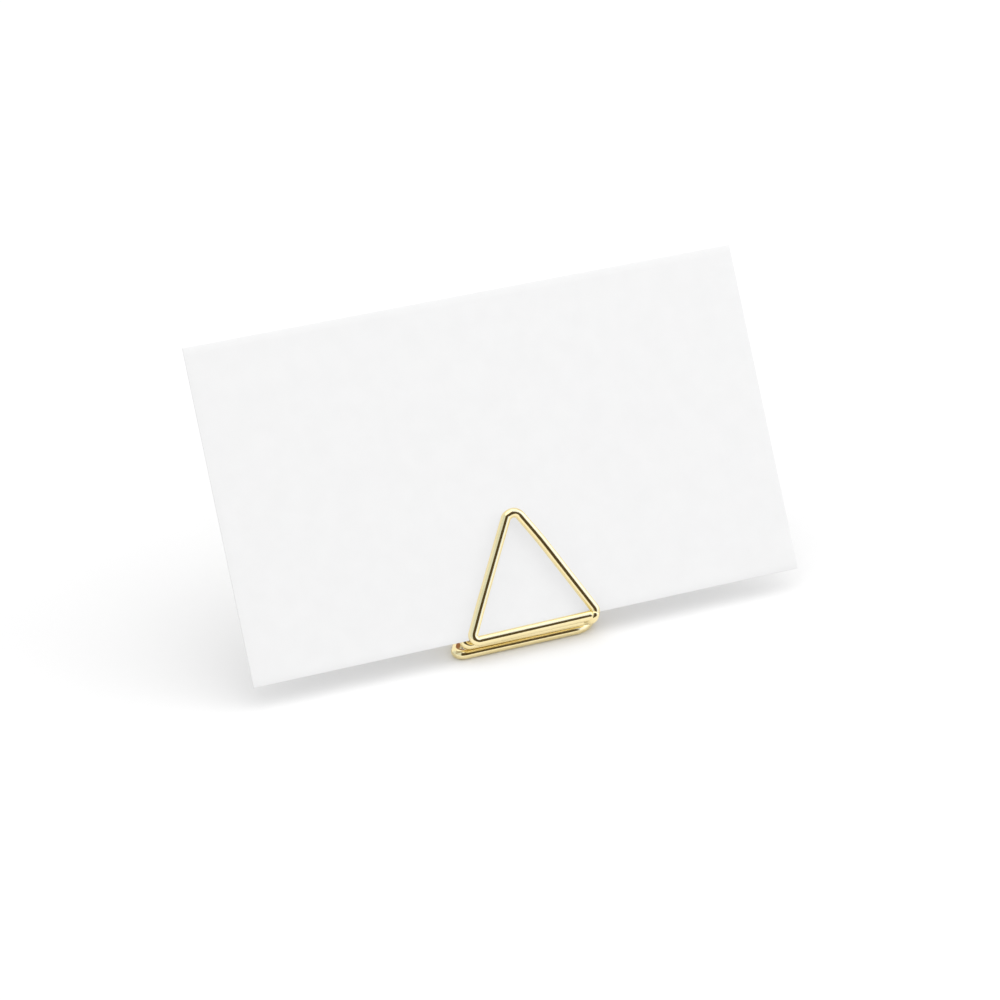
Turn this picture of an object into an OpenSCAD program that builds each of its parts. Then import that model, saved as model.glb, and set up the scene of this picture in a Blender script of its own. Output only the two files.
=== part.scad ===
// Place card holder: one round wire bent into three triangles that share a front side.
// The front and rear triangles lean back and hold a card between them,
// and the third triangle is folded down flat as the foot.
// Origin: centre of the footprint on the table. X runs along the card, Y to the back, Z up.

/* [Wire] */
// Diameter of the wire
wire_d = 1.5; // [1.2:0.05:1.8]
// Radius of a sharp bend to the middle of the wire, as a share of the wire's own radius
bend_share = 1.13; // [1.08:0.01:1.2]
// Backward lean of the card and of the two upright triangles
lean = 31.5; // [20:0.5:40]
// Gap between stretches of wire that rest on each other
rest_gap = 0.03; // [0.02:0.01:0.1]

/* [Card] */
// Width of the card
card_w = 88.9; // [70:0.1:120]
// Height of the card along its own face
card_h = 50.8; // [40:0.1:70]
// Thickness of the card
card_t = 0.35; // [0.2:0.05:0.5]
// Clearance between the card and the wire
card_gap = 0.05; // [0.03:0.01:0.1]

/* [Front triangle] */
// Reach of the front triangle's lower left corner from the card's middle
front_left = 10.45; // [9:0.05:12]
// Reach of the right leg's knee from the card's middle
front_right = 10.1; // [9:0.05:12]
// Height of the front triangle along the card, from its lower side to its apex
front_h = 18.3; // [16:0.1:20]
// How far the lower side's left end lies below the card's lower edge, along the card
front_drop = 0.35; // [0.1:0.05:0.5]
// How much higher the lower side lies at its right end
front_rise = 0.18; // [0.05:0.01:0.3]
// Radius of the wide bend just right of the apex
apex_r = 1.3; // [1:0.05:1.5]
// Length of straight wire between the right leg's knee and the bend under the card
knee_run = 0.25; // [0.25:0.05:0.6]
// How far in from the knee the wire bends back under the card
cross_in = 0.55; // [0.3:0.05:0.65]
// How far the wire slants to the left on its way back under the card
cross_slant = 0.75; // [0.4:0.05:1]
// Outward bow of the left leg, in its lower part
left_bow = 0.06; // [0.05:0.01:0.3]
// Outward bow of the right leg, in its upper part
right_bow = 0.2; // [0.05:0.01:0.3]
// Radius of the bowed part of a leg
bow_r = 60; // [40:5:80]
// Gap at each end of the front triangle's wire
end_gap = 0.12; // [0.1:0.01:0.15]

/* [Rear triangle] */
// Reach of the rear triangle's lower left corner from the card's middle
rear_left = 11.4; // [10:0.1:12]
// Height of the rear triangle along the card, from its lower side to its apex
rear_h = 18.2; // [16:0.1:20]
// How much higher the lower side lies at its left end
rear_rise = 0.2; // [0.05:0.05:0.4]

/* [Foot] */
// Reach of the foot's front left corner from the card's middle
foot_left = 12.35; // [11:0.05:14]
// Width of the foot, from its front left corner to where its right side would meet the front
foot_w = 25.6; // [25:0.1:26.4]
// Radius of the foot's front left and rear corners
foot_r = 1; // [0.9:0.05:1.5]
// Radius of the wide curl at the foot's front right corner
curl_r = 3.7; // [3:0.1:3.8]
// Reach of the curl's corner from the card's middle
curl_reach = 11.8; // [11:0.1:12]
// Turn of the curl
curl_turn = 100; // [95:1:102]
// Length from the curl's corner back to where the wire rises
curl_run = 5.4; // [5.3:0.1:5.6]
// Gap between the foot's cut end and the wire that rises in front of it
foot_end_gap = 0.45; // [0.35:0.05:3]

/* [Hidden] */
$fn = 48;
// Turn of an equilateral triangle's corner
corner_turn = 120;
// How far a straight stretch of wire reaches into its bends, which are that little bit thicker
lap = 0.03;
bend_swell = 0.01;
bend_r = bend_share * wire_d / 2;
// Place and height of the apex's sharp bend, as shares of the front triangle's width and height
apex_side_share = 0.03;
apex_drop_share = 0.053;
// Place and height of the apex's wide bend, in the same way
apex_right_share = 0.049;
apex_low_share = 0.017;
// Place of each leg's bow, as a share of the leg from its start
left_bow_share = 0.3;
right_bow_share = 0.3;
// Most that the wire turns at the right leg's knee, and where it goes back under the card
knee_turn = 54;
cross_turn = 82;
// Place of the rear triangle's apex from the card's middle, as a share of its left reach
rear_apex_share = 0.036;
// Height up the rising wire at which the foot ends, as a share of the wire's diameter
rise_end_share = 1.5;

// Places across the card's thickness, measured from its front face toward the viewer
front_n = wire_d / 2 + card_gap;
rear_n = -card_t - wire_d / 2 - card_gap;
// The crossing carries the card, so its top lies just under the card's lower edge
cross_u = -wire_d / 2 - card_gap;
// Height of the foot wire's middle, and of the rear triangle's lower right corner above it
foot_z = (wire_d + bend_swell) / 2;
// How far the foot's front side lies behind the rear triangle's lower right corner
foot_set = 0.36;
rear_z = foot_z + sqrt(pow(wire_d + rest_gap, 2) - pow(foot_set, 2));
// Card's lower front edge
edge_z = rear_z - cross_u * cos(lean) - rear_n * sin(lean);
front_reach = front_n * cos(lean) + front_drop * sin(lean) + wire_d / 2;
back_reach = card_h * sin(lean) + card_t * cos(lean);
edge_y = (front_reach - back_reach) / 2;
foot_y = edge_y + cross_u * sin(lean) - rear_n * cos(lean) + foot_set;

function unit(v) = v / norm(v);
// A point given across, up along the card and out from its front face
function on_card(x, u, n) =
    [x, edge_y + u * sin(lean) - n * cos(lean), edge_z + u * cos(lean) + n * sin(lean)];
// A point of the foot given across and back from its front side
function on_table(x, back) = [x, foot_y + back, foot_z];
function turn_at(p, i) = acos(unit(p[i] - p[i - 1]) * unit(p[i + 1] - p[i]));
// Length of wire that a bend takes from each side of its corner
function trim(p, r, i) =
    i == 0 || i == len(p) - 1 ? 0 : r[i] * tan(turn_at(p, i) / 2);

// Axis that the wire turns about at a corner
function bend_axis(p, i) = unit(cross(p[i] - p[i - 1], p[i + 1] - p[i]));
// Roll of the wire about itself between one bend and the next
function roll_at(p, i) = i == 1 ? 0 :
    let (last = bend_axis(p, i - 1), next = bend_axis(p, i))
        atan2(cross(last, next) * unit(p[i] - p[i - 1]), last * next);

// One stretch of wire up the z axis from the origin, its bend, and all that follows
module feed(p, r, i) {
    run = norm(p[i] - p[i - 1]) - trim(p, r, i - 1) - trim(p, r, i);
    // The wire's two cut ends have no bend to reach into
    before = i > 1 ? lap : 0;
    after = i < len(p) - 1 ? lap : 0;
    translate([0, 0, -before]) cylinder(h = before + run + after, d = wire_d);
    if (i < len(p) - 1)
        translate([0, 0, run]) rotate([0, 0, roll_at(p, i)]) translate([r[i], 0, 0]) {
            rotate([90, 0, 180])
                rotate_extrude(angle = turn_at(p, i))
                    translate([r[i], 0]) circle(d = wire_d + bend_swell);
            rotate([0, turn_at(p, i), 0]) translate([-r[i], 0, 0]) feed(p, r, i + 1);
        }
}

// Round wire through the corners p, bent at each with the radius r
module wire_run(p, r) {
    dz = unit(p[1] - p[0]);
    dy = bend_axis(p, 1);
    dx = cross(dy, dz);
    multmatrix([
        [dx.x, dy.x, dz.x, p[0].x],
        [dx.y, dy.y, dz.y, p[0].y],
        [dx.z, dy.z, dz.z, p[0].z]
    ]) feed(p, r, 1);
}

front_w = front_left + front_right;
front_mid = (front_right - front_left) / 2;
front_corner = [-front_left, -front_drop];
apex_sharp = [front_mid - apex_side_share * front_w,
    front_h * (1 - apex_drop_share) - front_drop];
apex_wide = [front_mid + apex_right_share * front_w,
    front_h * (1 - apex_low_share) - front_drop];
// Right leg's knee, and the bend below it
knee_side = bend_r * (tan(knee_turn / 2) + tan(cross_turn / 2)) + knee_run;
cross_at = [front_right - cross_in, cross_u];
knee = [front_right, cross_u + sqrt(pow(knee_side, 2) - pow(cross_in, 2))];
// A point between the two, at a distance from the lower one
function below_knee(d) = cross_at + unit(knee - cross_at) * d;
leg_end = bend_r * tan(cross_turn / 2) + knee_run / 2;
// A point of a leg from a to b, pushed out to its left
function bowed(a, b, bow, share) =
    let (d = unit(b - a)) a + (b - a) * share + bow * [-d.y, d.x];
module front_triangle() color("gold") {
    // The lower side's cut end clears the middle of the slanting turn under the card
    bar_end = [cross_at.x - cross_slant / 2 - wire_d / 2 - end_gap, front_rise - front_drop];
    flat = [bar_end, front_corner, bowed(front_corner, apex_sharp, left_bow, left_bow_share),
        apex_sharp, apex_wide, bowed(apex_wide, knee, right_bow, right_bow_share), knee,
        below_knee(leg_end + end_gap / 2)];
    wire_run([for (q = flat) on_card(q.x, q.y, front_n)],
        [0, bend_r, bow_r, bend_r, apex_r, bow_r, bend_r, 0]);
}

rear_apex = on_card(-rear_left * rear_apex_share, rear_h + cross_u, rear_n);
curl_corner = on_table(curl_reach, 0);
rise = on_table(curl_reach + curl_run * cos(curl_turn), curl_run * sin(curl_turn));
// Where the rear triangle's wire goes on as the foot's
rise_end = rise + rise_end_share * wire_d * unit(rear_apex - rise);
module rear_triangle() color("gold") {
    cut = below_knee(leg_end - end_gap / 2);
    wire_run([
        on_card(cut.x, cut.y, front_n),
        on_card(cross_at.x, cross_at.y, front_n),
        on_card(cross_at.x - cross_slant, cross_u, rear_n),
        on_card(-rear_left, cross_u + rear_rise, rear_n),
        rear_apex,
        rise_end
    ], [0, bend_r, bend_r, bend_r, bend_r, 0]);
}

module foot_triangle() color("gold") {
    apex_back = foot_w * sin(corner_turn / 2);
    end_back = curl_run * sin(curl_turn) + wire_d / 2 + foot_end_gap;
    wire_run([
        rise_end,
        rise,
        curl_corner,
        on_table(-foot_left, 0),
        on_table(foot_w / 2 - foot_left, apex_back),
        on_table(foot_w - foot_left - end_back / tan(corner_turn / 2), end_back)
    ], [0, bend_r, curl_r, foot_r, foot_r, 0]);
}

module place_card() color("white")
    translate([0, edge_y, edge_z])
        rotate([-lean, 0, 0])
            translate([-card_w / 2, 0, 0])
                cube([card_w, card_t, card_h]);

front_triangle();
rear_triangle();
foot_triangle();
place_card();
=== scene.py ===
"""Looks of the place card holder: one bent gold wire and the blank card that it holds."""
import math

import bmesh
import bpy
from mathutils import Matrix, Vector


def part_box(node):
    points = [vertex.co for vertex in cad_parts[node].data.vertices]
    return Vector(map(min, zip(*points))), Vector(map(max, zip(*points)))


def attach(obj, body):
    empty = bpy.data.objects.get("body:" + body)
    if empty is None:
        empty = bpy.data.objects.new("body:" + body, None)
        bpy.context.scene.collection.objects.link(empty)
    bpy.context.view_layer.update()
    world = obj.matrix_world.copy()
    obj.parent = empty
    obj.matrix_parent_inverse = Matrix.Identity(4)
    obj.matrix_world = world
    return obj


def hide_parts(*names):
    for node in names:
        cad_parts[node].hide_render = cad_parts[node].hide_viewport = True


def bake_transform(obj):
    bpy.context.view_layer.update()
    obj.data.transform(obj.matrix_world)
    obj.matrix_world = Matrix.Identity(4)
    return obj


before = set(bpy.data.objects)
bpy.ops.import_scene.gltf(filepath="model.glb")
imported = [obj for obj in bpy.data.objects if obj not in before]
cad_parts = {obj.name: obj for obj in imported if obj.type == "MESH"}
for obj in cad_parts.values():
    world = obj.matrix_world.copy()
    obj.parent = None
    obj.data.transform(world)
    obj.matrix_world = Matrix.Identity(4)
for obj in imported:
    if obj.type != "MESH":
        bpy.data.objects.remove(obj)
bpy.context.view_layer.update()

MM = 0.001

# Driving dimensions, as in the part's source
WIRE_D = 1.5 * MM
BEND_SHARE = 1.13
BEND_R = BEND_SHARE * WIRE_D / 2
LEAN = math.radians(31.5)
CARD_T = 0.35 * MM
CARD_GAP = 0.05 * MM
CARD_W = 88.9 * MM
CARD_H = 50.8 * MM

FRONT_LEFT = 10.45 * MM
FRONT_RIGHT = 10.1 * MM
FRONT_H = 18.3 * MM
FRONT_DROP = 0.35 * MM
FRONT_RISE = 0.18 * MM
APEX_R = 1.3 * MM
KNEE_RUN = 0.25 * MM
KNEE_TURN = math.radians(54)
CROSS_TURN = math.radians(82)
CROSS_IN = 0.55 * MM
CROSS_SLANT = 0.75 * MM
LEFT_BOW = 0.06 * MM
RIGHT_BOW = 0.2 * MM
BOW_R = 60 * MM
APEX_SIDE_SHARE = 0.03
APEX_DROP_SHARE = 0.053
APEX_RIGHT_SHARE = 0.049
APEX_LOW_SHARE = 0.017
LEFT_BOW_SHARE = 0.3
RIGHT_BOW_SHARE = 0.3

REAR_LEFT = 11.4 * MM
REAR_H = 18.2 * MM
REAR_RISE = 0.2 * MM
REAR_APEX_SHARE = 0.036

FOOT_LEFT = 12.35 * MM
FOOT_W = 25.6 * MM
FOOT_R = 1 * MM
CURL_R = 3.7 * MM
CURL_REACH = 11.8 * MM
CURL_TURN = math.radians(100)
CURL_RUN = 5.4 * MM
FOOT_END_GAP = 0.45 * MM
CORNER_TURN = math.radians(120)

# How far the visible wire's lower side runs into the right leg's flank
BAR_END_LAP = 0.2 * MM

# Places across the card's thickness, from its front face toward the viewer
FRONT_N = WIRE_D / 2 + CARD_GAP
REAR_N = -CARD_T - WIRE_D / 2 - CARD_GAP
CROSS_U = -WIRE_D / 2 - CARD_GAP
CROSS_RIGHT = FRONT_RIGHT - CROSS_IN

# Middle of the card's lower front edge, and the foot's front side, from the frame
card_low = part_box("place_card")[0]
foot_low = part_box("foot_triangle")[0]
EDGE = Vector((0, card_low.y, card_low.z + CARD_T * math.sin(LEAN)))
FOOT_Y = foot_low.y + WIRE_D / 2
FOOT_Z = WIRE_D / 2

CARD_UP = Vector((0, math.sin(LEAN), math.cos(LEAN)))
CARD_OUT = Vector((0, -math.cos(LEAN), math.sin(LEAN)))

# Camera's place and aim from the middle of the card's lower edge, sensor and lens in millimetres
CAMERA_FROM_EDGE = Vector((-219.06, -495.01, 320.89)) * MM
AIM_FROM_EDGE = Vector((-0.51, 11.2, 16.1)) * MM
SENSOR = 36
LENS = 151.2
CLIP_NEAR = 0.01
CLIP_FAR = 20


def on_card(x, u, n):
    """A point given across, up along the card and out from its front face."""
    return EDGE + Vector((x, 0, 0)) + CARD_UP * u + CARD_OUT * n


def on_table(x, back):
    """A point of the foot given across and back from its front side."""
    return Vector((x, FOOT_Y + back, FOOT_Z))


def make_camera():
    """The photo's view of the object."""
    data = bpy.data.cameras.new("camera")
    data.sensor_width = SENSOR
    data.lens = LENS
    data.clip_start = CLIP_NEAR
    data.clip_end = CLIP_FAR
    camera = bpy.data.objects.new("camera", data)
    camera.location = EDGE + CAMERA_FROM_EDGE
    camera.rotation_mode = "QUATERNION"
    toward = EDGE + AIM_FROM_EDGE - camera.location
    camera.rotation_quaternion = toward.to_track_quat("-Z", "Y")
    bpy.context.scene.collection.objects.link(camera)
    bpy.context.scene.camera = camera


# Route of the wire

def bowed(a, b, bow, share):
    """A point of a leg from a to b in the card's plane, pushed out to its left."""
    d = (b - a).normalized()
    return a.lerp(b, share) + Vector((-d.y, d.x)) * bow


def front_route():
    """Corners and bend radii of the front triangle, from the wire's cut end to the knee."""
    width = FRONT_LEFT + FRONT_RIGHT
    middle = (FRONT_RIGHT - FRONT_LEFT) / 2
    knee_side = BEND_R * (math.tan(KNEE_TURN / 2) + math.tan(CROSS_TURN / 2)) + KNEE_RUN
    knee = Vector((FRONT_RIGHT, CROSS_U + math.sqrt(knee_side ** 2 - CROSS_IN ** 2)))
    # The lower side's end is brazed to the right leg's left flank
    meet = (FRONT_RISE - FRONT_DROP - CROSS_U) / (knee.y - CROSS_U)
    bar_end = Vector((CROSS_RIGHT + CROSS_IN * meet - WIRE_D / 2 + BAR_END_LAP,
                      FRONT_RISE - FRONT_DROP))
    left = Vector((-FRONT_LEFT, -FRONT_DROP))
    sharp = Vector((middle - APEX_SIDE_SHARE * width,
                    FRONT_H * (1 - APEX_DROP_SHARE) - FRONT_DROP))
    wide = Vector((middle + APEX_RIGHT_SHARE * width,
                   FRONT_H * (1 - APEX_LOW_SHARE) - FRONT_DROP))
    flat = [(bar_end, 0), (left, BEND_R),
            (bowed(left, sharp, LEFT_BOW, LEFT_BOW_SHARE), BOW_R),
            (sharp, BEND_R), (wide, APEX_R),
            (bowed(wide, knee, RIGHT_BOW, RIGHT_BOW_SHARE), BOW_R), (knee, BEND_R)]
    return [(on_card(q.x, q.y, FRONT_N), r) for q, r in flat]


def rear_route():
    """Corners and bend radii of the turn under the card and of the rear triangle."""
    corners = [on_card(CROSS_RIGHT, CROSS_U, FRONT_N),
               on_card(CROSS_RIGHT - CROSS_SLANT, CROSS_U, REAR_N),
               on_card(-REAR_LEFT, CROSS_U + REAR_RISE, REAR_N),
               on_card(-REAR_LEFT * REAR_APEX_SHARE, REAR_H + CROSS_U, REAR_N)]
    return [(p, BEND_R) for p in corners]


def foot_route():
    """Corners and bend radii of the foot, from where the wire comes down to its cut end."""
    run_x = CURL_RUN * math.cos(CURL_TURN)
    run_y = CURL_RUN * math.sin(CURL_TURN)
    end_back = run_y + WIRE_D / 2 + FOOT_END_GAP
    return [
        (on_table(CURL_REACH + run_x, run_y), BEND_R),
        (on_table(CURL_REACH, 0), CURL_R),
        (on_table(-FOOT_LEFT, 0), FOOT_R),
        (on_table(FOOT_W / 2 - FOOT_LEFT, FOOT_W * math.sin(CORNER_TURN / 2)), FOOT_R),
        (on_table(FOOT_W - FOOT_LEFT - end_back / math.tan(CORNER_TURN / 2), end_back), 0),
    ]


STRAIGHT_STEP = 0.4 * MM
ARC_STEP = math.radians(5)


def add_straight(line, end):
    """Adds evenly spaced points from the line's last point to the end."""
    start = line[-1]
    count = max(1, math.ceil((end - start).length / STRAIGHT_STEP))
    line.extend(start.lerp(end, k / count) for k in range(1, count + 1))


def add_bend(line, before, corner, after, radius):
    """Adds the straight wire up to a corner and then the bend there, as an arc."""
    a = (corner - before).normalized()
    b = (after - corner).normalized()
    turn = a.angle(b)
    start = corner - a * (radius * math.tan(turn / 2))
    inward = (b - a * a.dot(b)).normalized()
    centre = start + inward * radius
    add_straight(line, start)
    count = max(2, math.ceil(turn / ARC_STEP))
    for k in range(1, count + 1):
        t = turn * k / count
        line.append(centre - inward * (radius * math.cos(t)) + a * (radius * math.sin(t)))


def wire_line():
    """Middle line of the whole wire, and the index at which its front turn's last bend ends."""
    front = front_route()
    route = front + rear_route() + foot_route()
    line = [route[0][0]]
    for i in range(1, len(route) - 1):
        corner, radius = route[i]
        add_bend(line, route[i - 1][0], corner, route[i + 1][0], radius)
        if i == len(front) - 1:
            front_end = len(line) - 1
    add_straight(line, route[-1][0])
    return line, front_end


# Meshes

def new_object(name, bm):
    """A new object in the scene with the mesh that was built."""
    mesh = bpy.data.meshes.new(name)
    bm.to_mesh(mesh)
    bm.free()
    obj = bpy.data.objects.new(name, mesh)
    bpy.context.scene.collection.objects.link(obj)
    return obj


RING_SIDES = 40
RIM_R = 0.12 * MM
RIM_STEPS = 4


def add_rims(line):
    """Rings of the wire as (point, radius), with a small rounded rim at each cut end."""
    rings = [(p, WIRE_D / 2) for p in line]
    for end, inner in ((0, 1), (-1, -2)):
        out = (line[end] - line[inner]).normalized()
        rim = []
        for k in range(RIM_STEPS + 1):
            t = math.pi / 2 * k / RIM_STEPS
            rim.append((line[end] - out * RIM_R * (1 - math.sin(t)),
                        WIRE_D / 2 - RIM_R * (1 - math.cos(t))))
        if end == 0:
            rings[:1] = rim[::-1]
        else:
            rings[-1:] = rim
    return rings


def wire_loops(line):
    """Points round the wire at each ring, on axes that never twist, and the length up to it."""
    rings = add_rims(line)
    count = len(rings)
    tangent = (rings[RIM_STEPS + 1][0] - rings[0][0]).normalized()
    side = tangent.orthogonal().normalized()
    length = 0
    loops = []
    for i, (p, r) in enumerate(rings):
        back = rings[max(i - 1, 0)][0]
        ahead = rings[min(i + 1, count - 1)][0]
        if (ahead - back).length > 0:
            turned = (ahead - back).normalized()
            side.rotate(tangent.rotation_difference(turned))
            tangent = turned
        side = (side - tangent * side.dot(tangent)).normalized()
        up = tangent.cross(side)
        length += (p - back).length
        ring = []
        for k in range(RING_SIDES):
            a = 2 * math.pi * k / RING_SIDES
            ring.append(p + (side * math.cos(a) + up * math.sin(a)) * r)
        loops.append((ring, length))
    return loops


def make_wire(name, loops):
    """One stretch of the wire, closed at both ends."""
    bm = bmesh.new()
    uv = bm.loops.layers.uv.new("along_and_round")
    rows = [([bm.verts.new(p) for p in ring], at) for ring, at in loops]
    for (ring, at), (ring2, at2) in zip(rows, rows[1:]):
        for k in range(RING_SIDES):
            m = (k + 1) % RING_SIDES
            face = bm.faces.new((ring[k], ring[m], ring2[m], ring2[k]))
            face.smooth = True
            spots = ((k, at), (k + 1, at), (k + 1, at2), (k, at2))
            for loop, (around, along) in zip(face.loops, spots):
                loop[uv].uv = (along / WIRE_D, around / RING_SIDES)
    bm.faces.new(rows[0][0][::-1])
    bm.faces.new(rows[-1][0])
    bmesh.ops.recalc_face_normals(bm, faces=bm.faces)
    return new_object(name, bm)


def make_holder():
    """The gold wire as two meshes that meet past the right leg's knee."""
    line, front_end = wire_line()
    loops = wire_loops(line)
    # The rim at the first cut end adds its own rings
    seam = front_end + RIM_STEPS
    front = make_wire("front_wire", loops[:seam + 1])
    rear = make_wire("rear_and_foot_wire", loops[seam:])
    gold = gold_material()
    front.data.materials.append(gold)
    rear.data.materials.append(gold)
    # The front turn shades the card from the soft boxes, and throws no gold light on it
    front.visible_diffuse = False
    return front, rear


CARD_CELLS_X = 72
CARD_CELLS_U = 42
CARD_EDGE_R = 0.06 * MM
CARD_EDGE_STEPS = 3
CARD_BOW = 0.05 * MM
SHARP_EDGE = math.radians(45)


def make_card():
    """The blank card: a thin sheet with softly rounded cut edges and a slight bow."""
    bm = bmesh.new()
    bmesh.ops.create_grid(bm, x_segments=CARD_CELLS_X, y_segments=CARD_CELLS_U, size=0.5)
    for v in bm.verts:
        x, u = v.co.x * CARD_W, (v.co.y + 0.5) * CARD_H
        v.co = Vector((x, u, 0))
    made = bmesh.ops.extrude_face_region(bm, geom=list(bm.faces))
    for v in [g for g in made["geom"] if isinstance(g, bmesh.types.BMVert)]:
        v.co.z -= CARD_T
    bmesh.ops.recalc_face_normals(bm, faces=bm.faces)
    rim = [e for e in bm.edges
           if len(e.link_faces) == 2 and e.calc_face_angle(0) > SHARP_EDGE]
    bmesh.ops.bevel(bm, geom=rim, offset=CARD_EDGE_R, segments=CARD_EDGE_STEPS,
                    affect="EDGES", profile=0.5)
    for v in bm.verts:
        x, u, n = v.co
        n += CARD_BOW * (1 - (2 * x / CARD_W) ** 2) - CARD_BOW
        v.co = on_card(x, u, n)
    for f in bm.faces:
        f.smooth = True
    card = new_object("blank_card", bm)
    card.data.materials.append(card_material())
    return card


# Materials

# Each noise as (scale, detail, roughness), each tint as (low colour, high colour)
LINES_STRETCH = (0.35, 26, 1)
LINES_NOISE = (3, 4, 0.5)
GOLD_NOISE = (260, 3, 0.5)
GOLD_TINT = ((0.94, 0.8, 0.44, 1), (0.99, 0.85, 0.5, 1))
GOLD_ROUGHNESS = (0.07, 0.16)
GOLD_BUMP = 0.12
FIBRE_NOISE = (2600, 5, 0.65)
CARD_NOISE = (320, 2, 0.5)
CARD_TINT = ((0.895, 0.895, 0.895, 1), (0.91, 0.91, 0.91, 1))
CARD_ROUGHNESS = 0.7
CARD_SHINE = 0.25
CARD_BUMP = 0.15
# Noise values at which a tint starts and ends
TINT_SPAN = (0.3, 0.7)
BUMP_DEPTH = 0.01 * MM


def new_material(name):
    """A material with a plain shader, as (material, node tree, shader)."""
    material = bpy.data.materials.new(name)
    material.use_nodes = True
    tree = material.node_tree
    tree.nodes.clear()
    out = tree.nodes.new("ShaderNodeOutputMaterial")
    shader = tree.nodes.new("ShaderNodeBsdfPrincipled")
    tree.links.new(shader.outputs["BSDF"], out.inputs["Surface"])
    return material, tree, shader


def add_noise(tree, place, noise):
    """Noise at a place, as a value."""
    node = tree.nodes.new("ShaderNodeTexNoise")
    for name, value in zip(("Scale", "Detail", "Roughness"), noise):
        node.inputs[name].default_value = value
    tree.links.new(place, node.inputs["Vector"])
    return node.outputs["Fac"]


def add_tint(tree, shader, value, tint):
    """Base colour that drifts with a value between two colours."""
    ramp = tree.nodes.new("ShaderNodeValToRGB")
    for element, position, colour in zip(ramp.color_ramp.elements, TINT_SPAN, tint):
        element.position = position
        element.color = colour
    tree.links.new(value, ramp.inputs["Fac"])
    tree.links.new(ramp.outputs["Color"], shader.inputs["Base Color"])


def add_bump(tree, shader, value, strength):
    """Fine relief that follows a value."""
    bump = tree.nodes.new("ShaderNodeBump")
    bump.inputs["Strength"].default_value = strength
    bump.inputs["Distance"].default_value = BUMP_DEPTH
    tree.links.new(value, bump.inputs["Height"])
    tree.links.new(bump.outputs["Normal"], shader.inputs["Normal"])


def gold_material():
    """Polished gold plate with faint drawing lines along the wire and slight colour drift."""
    material, tree, shader = new_material("polished_gold")
    shader.inputs["Metallic"].default_value = 1
    uv = tree.nodes.new("ShaderNodeUVMap")
    uv.uv_map = "along_and_round"
    stretch = tree.nodes.new("ShaderNodeMapping")
    stretch.inputs["Scale"].default_value = LINES_STRETCH
    tree.links.new(uv.outputs["UV"], stretch.inputs["Vector"])
    lines = add_noise(tree, stretch.outputs["Vector"], LINES_NOISE)
    place = tree.nodes.new("ShaderNodeTexCoord").outputs["Object"]
    add_tint(tree, shader, add_noise(tree, place, GOLD_NOISE), GOLD_TINT)
    rough = tree.nodes.new("ShaderNodeMapRange")
    for name, value in zip(("To Min", "To Max"), GOLD_ROUGHNESS):
        rough.inputs[name].default_value = value
    tree.links.new(lines, rough.inputs["Value"])
    tree.links.new(rough.outputs["Result"], shader.inputs["Roughness"])
    add_bump(tree, shader, lines, GOLD_BUMP)
    return material


def card_material():
    """Smooth matt white card with a faint fibre grain."""
    material, tree, shader = new_material("card_stock")
    shader.inputs["Roughness"].default_value = CARD_ROUGHNESS
    shader.inputs["Specular IOR Level"].default_value = CARD_SHINE
    place = tree.nodes.new("ShaderNodeTexCoord").outputs["Object"]
    add_tint(tree, shader, add_noise(tree, place, CARD_NOISE), CARD_TINT)
    add_bump(tree, shader, add_noise(tree, place, FIBRE_NOISE), CARD_BUMP)
    return material


# Studio

# The floor looks brighter than the light that it throws back on the object
FLOOR_HALF = 2
FLOOR_BOUNCE = (0.55, 0.55, 0.55, 1)
FLOOR_SEEN = (0.9, 0.9, 0.9, 1)
FLOOR_ROUGHNESS = 0.9


def add_seen_directly(tree):
    """Value that is 1 for camera, mirror and glass rays and 0 for the light that bounces."""
    path = tree.nodes.new("ShaderNodeLightPath")
    value = path.outputs["Is Camera Ray"]
    for ray in ("Is Glossy Ray", "Is Transmission Ray"):
        add = tree.nodes.new("ShaderNodeMath")
        add.operation = "ADD"
        add.use_clamp = True
        tree.links.new(value, add.inputs[0])
        tree.links.new(path.outputs[ray], add.inputs[1])
        value = add.outputs["Value"]
    return value


def make_floor():
    """The white table that the object stands on."""
    bm = bmesh.new()
    bmesh.ops.create_grid(bm, x_segments=1, y_segments=1, size=FLOOR_HALF)
    floor = new_object("floor", bm)
    material, tree, shader = new_material("white_table")
    mix = tree.nodes.new("ShaderNodeMix")
    mix.data_type = "RGBA"
    mix.inputs["A"].default_value = FLOOR_BOUNCE
    mix.inputs["B"].default_value = FLOOR_SEEN
    tree.links.new(add_seen_directly(tree), mix.inputs["Factor"])
    tree.links.new(mix.outputs["Result"], shader.inputs["Base Color"])
    shader.inputs["Roughness"].default_value = FLOOR_ROUGHNESS
    shader.inputs["Specular IOR Level"].default_value = 0
    floor.data.materials.append(material)


# Screens as (left edge, right edge, upper edge, glow), the edges in degrees from the front
# and from the level, as seen from the card's lower edge
# Each screen paints a reflection into the wire: the dark one the dark line along its middle, the
# grey one its dimmer left flanks, the white one pale highlights on its flanks that face right,
# and the brown one the shade under the card, as it shows in the foot's corners
DARK_FLAG = (-38, 32, 62, (0.085, 0.064, 0.035, 1))
GREY_FLAG = (-130, -38, 62, (0.75, 0.83, 0.93, 1))
WHITE_FLAG = (32, 62, 75, (1, 1.12, 1.5, 1))
# Painted reflection of shade: a brown glow that stands for the shaded floor and card back seen
# in the foot's corners
REFLECTED_SHADE_FLAG = (100, 160, 45, (0.3, 0.15, 0.1, 1))
FLAG_LOW = -4
FLAG_DISTANCE = 0.6
FLAG_CELLS = 12


def glow_material(name, colour):
    """A surface that glows evenly."""
    material = bpy.data.materials.new(name)
    material.use_nodes = True
    tree = material.node_tree
    tree.nodes.clear()
    glow = tree.nodes.new("ShaderNodeEmission")
    glow.inputs["Color"].default_value = colour
    out = tree.nodes.new("ShaderNodeOutputMaterial")
    tree.links.new(glow.outputs["Emission"], out.inputs["Surface"])
    return material


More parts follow.
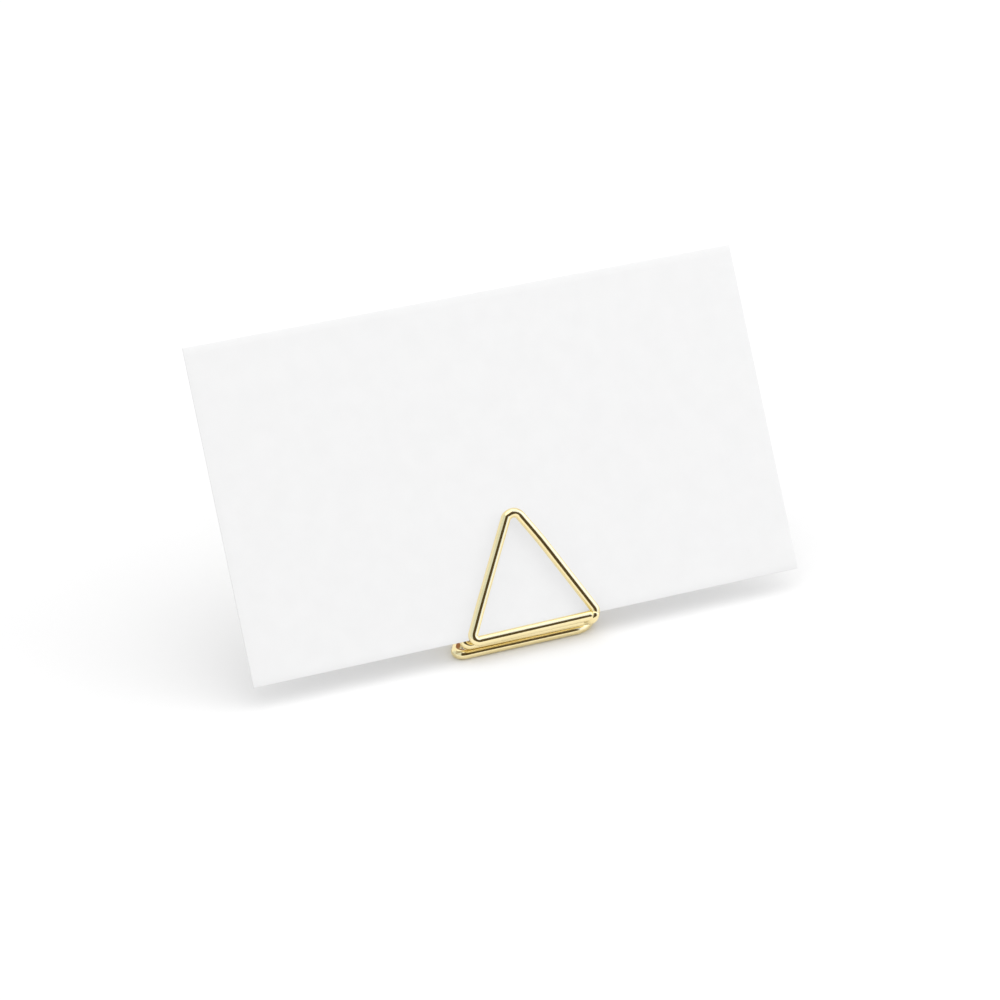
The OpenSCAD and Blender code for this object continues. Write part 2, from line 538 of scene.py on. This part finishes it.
def make_flag(name, screen):
    """A curved glowing screen that only the wire's reflections see, which paints a reflection
    into the wire.
    """
    left, right, high, colour = screen
    bm = bmesh.new()
    rows = []
    for i in range(FLAG_CELLS + 1):
        up = math.radians(FLAG_LOW + (high - FLAG_LOW) * i / FLAG_CELLS)
        row = []
        for k in range(FLAG_CELLS + 1):
            turn = math.radians(left + (right - left) * k / FLAG_CELLS)
            toward = Vector((math.sin(turn) * math.cos(up), -math.cos(turn) * math.cos(up),
                             math.sin(up)))
            row.append(bm.verts.new(EDGE + toward * FLAG_DISTANCE))
        rows.append(row)
    for row, above in zip(rows, rows[1:]):
        for k in range(FLAG_CELLS):
            bm.faces.new((row[k], row[k + 1], above[k + 1], above[k]))
    flag = new_object(name, bm)
    flag.data.materials.append(glow_material(name, colour))
    flag.visible_camera = False
    flag.visible_diffuse = False
    flag.visible_shadow = False
    flag.visible_transmission = False


# Soft boxes as (place in metres from the origin, side in metres, watts)
TOP_BOX = (Vector((0.1, 0.15, 1.2)), 1.2, 2.6)
RIGHT_BOX = (Vector((1.1, -0.25, 0.75)), 1.1, 3.6)
LEFT_BOX = (Vector((-1.1, -0.1, 0.5)), 0.6, 1)


def add_soft_box(name, box):
    """A square lamp that faces the object."""
    place, side, power = box
    data = bpy.data.lights.new(name, "AREA")
    data.shape = "SQUARE"
    data.size = side
    data.energy = power
    light = bpy.data.objects.new(name, data)
    light.location = place
    light.rotation_mode = "QUATERNION"
    light.rotation_quaternion = (-place).to_track_quat("-Z", "Y")
    bpy.context.scene.collection.objects.link(light)


WHITE = (1, 1, 1, 1)
WORLD_LEVEL = 0.93


def add_background(tree, level):
    """Even white light of a given level."""
    node = tree.nodes.new("ShaderNodeBackground")
    node.inputs["Color"].default_value = WHITE
    node.inputs["Strength"].default_value = level
    return node.outputs["Background"]


def make_world():
    """White surroundings, which light the object a little less than they look."""
    world = bpy.data.worlds.new("studio")
    bpy.context.scene.world = world
    world.use_nodes = True
    tree = world.node_tree
    tree.nodes.clear()
    mix = tree.nodes.new("ShaderNodeMixShader")
    tree.links.new(add_seen_directly(tree), mix.inputs["Fac"])
    tree.links.new(add_background(tree, WORLD_LEVEL), mix.inputs[1])
    tree.links.new(add_background(tree, 1), mix.inputs[2])
    out = tree.nodes.new("ShaderNodeOutputWorld")
    tree.links.new(mix.outputs["Shader"], out.inputs["Surface"])


make_camera()
bpy.context.scene.view_settings.view_transform = "Standard"

front_wire, rear_wire = make_holder()
card = make_card()

make_floor()
# Glowing screens that paint reflections into the wire: its dark line, dimmer and paler flanks,
# and reflected shade
make_flag("dark_flag", DARK_FLAG)
make_flag("grey_flag", GREY_FLAG)
make_flag("white_flag", WHITE_FLAG)
make_flag("reflected_shade_flag", REFLECTED_SHADE_FLAG)
add_soft_box("top_box", TOP_BOX)
add_soft_box("right_box", RIGHT_BOX)
add_soft_box("left_box", LEFT_BOX)
make_world()

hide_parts("front_triangle")
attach(front_wire, "front_clip")
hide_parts("rear_triangle", "foot_triangle")
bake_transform(rear_wire)
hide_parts("place_card")
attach(card, "card")
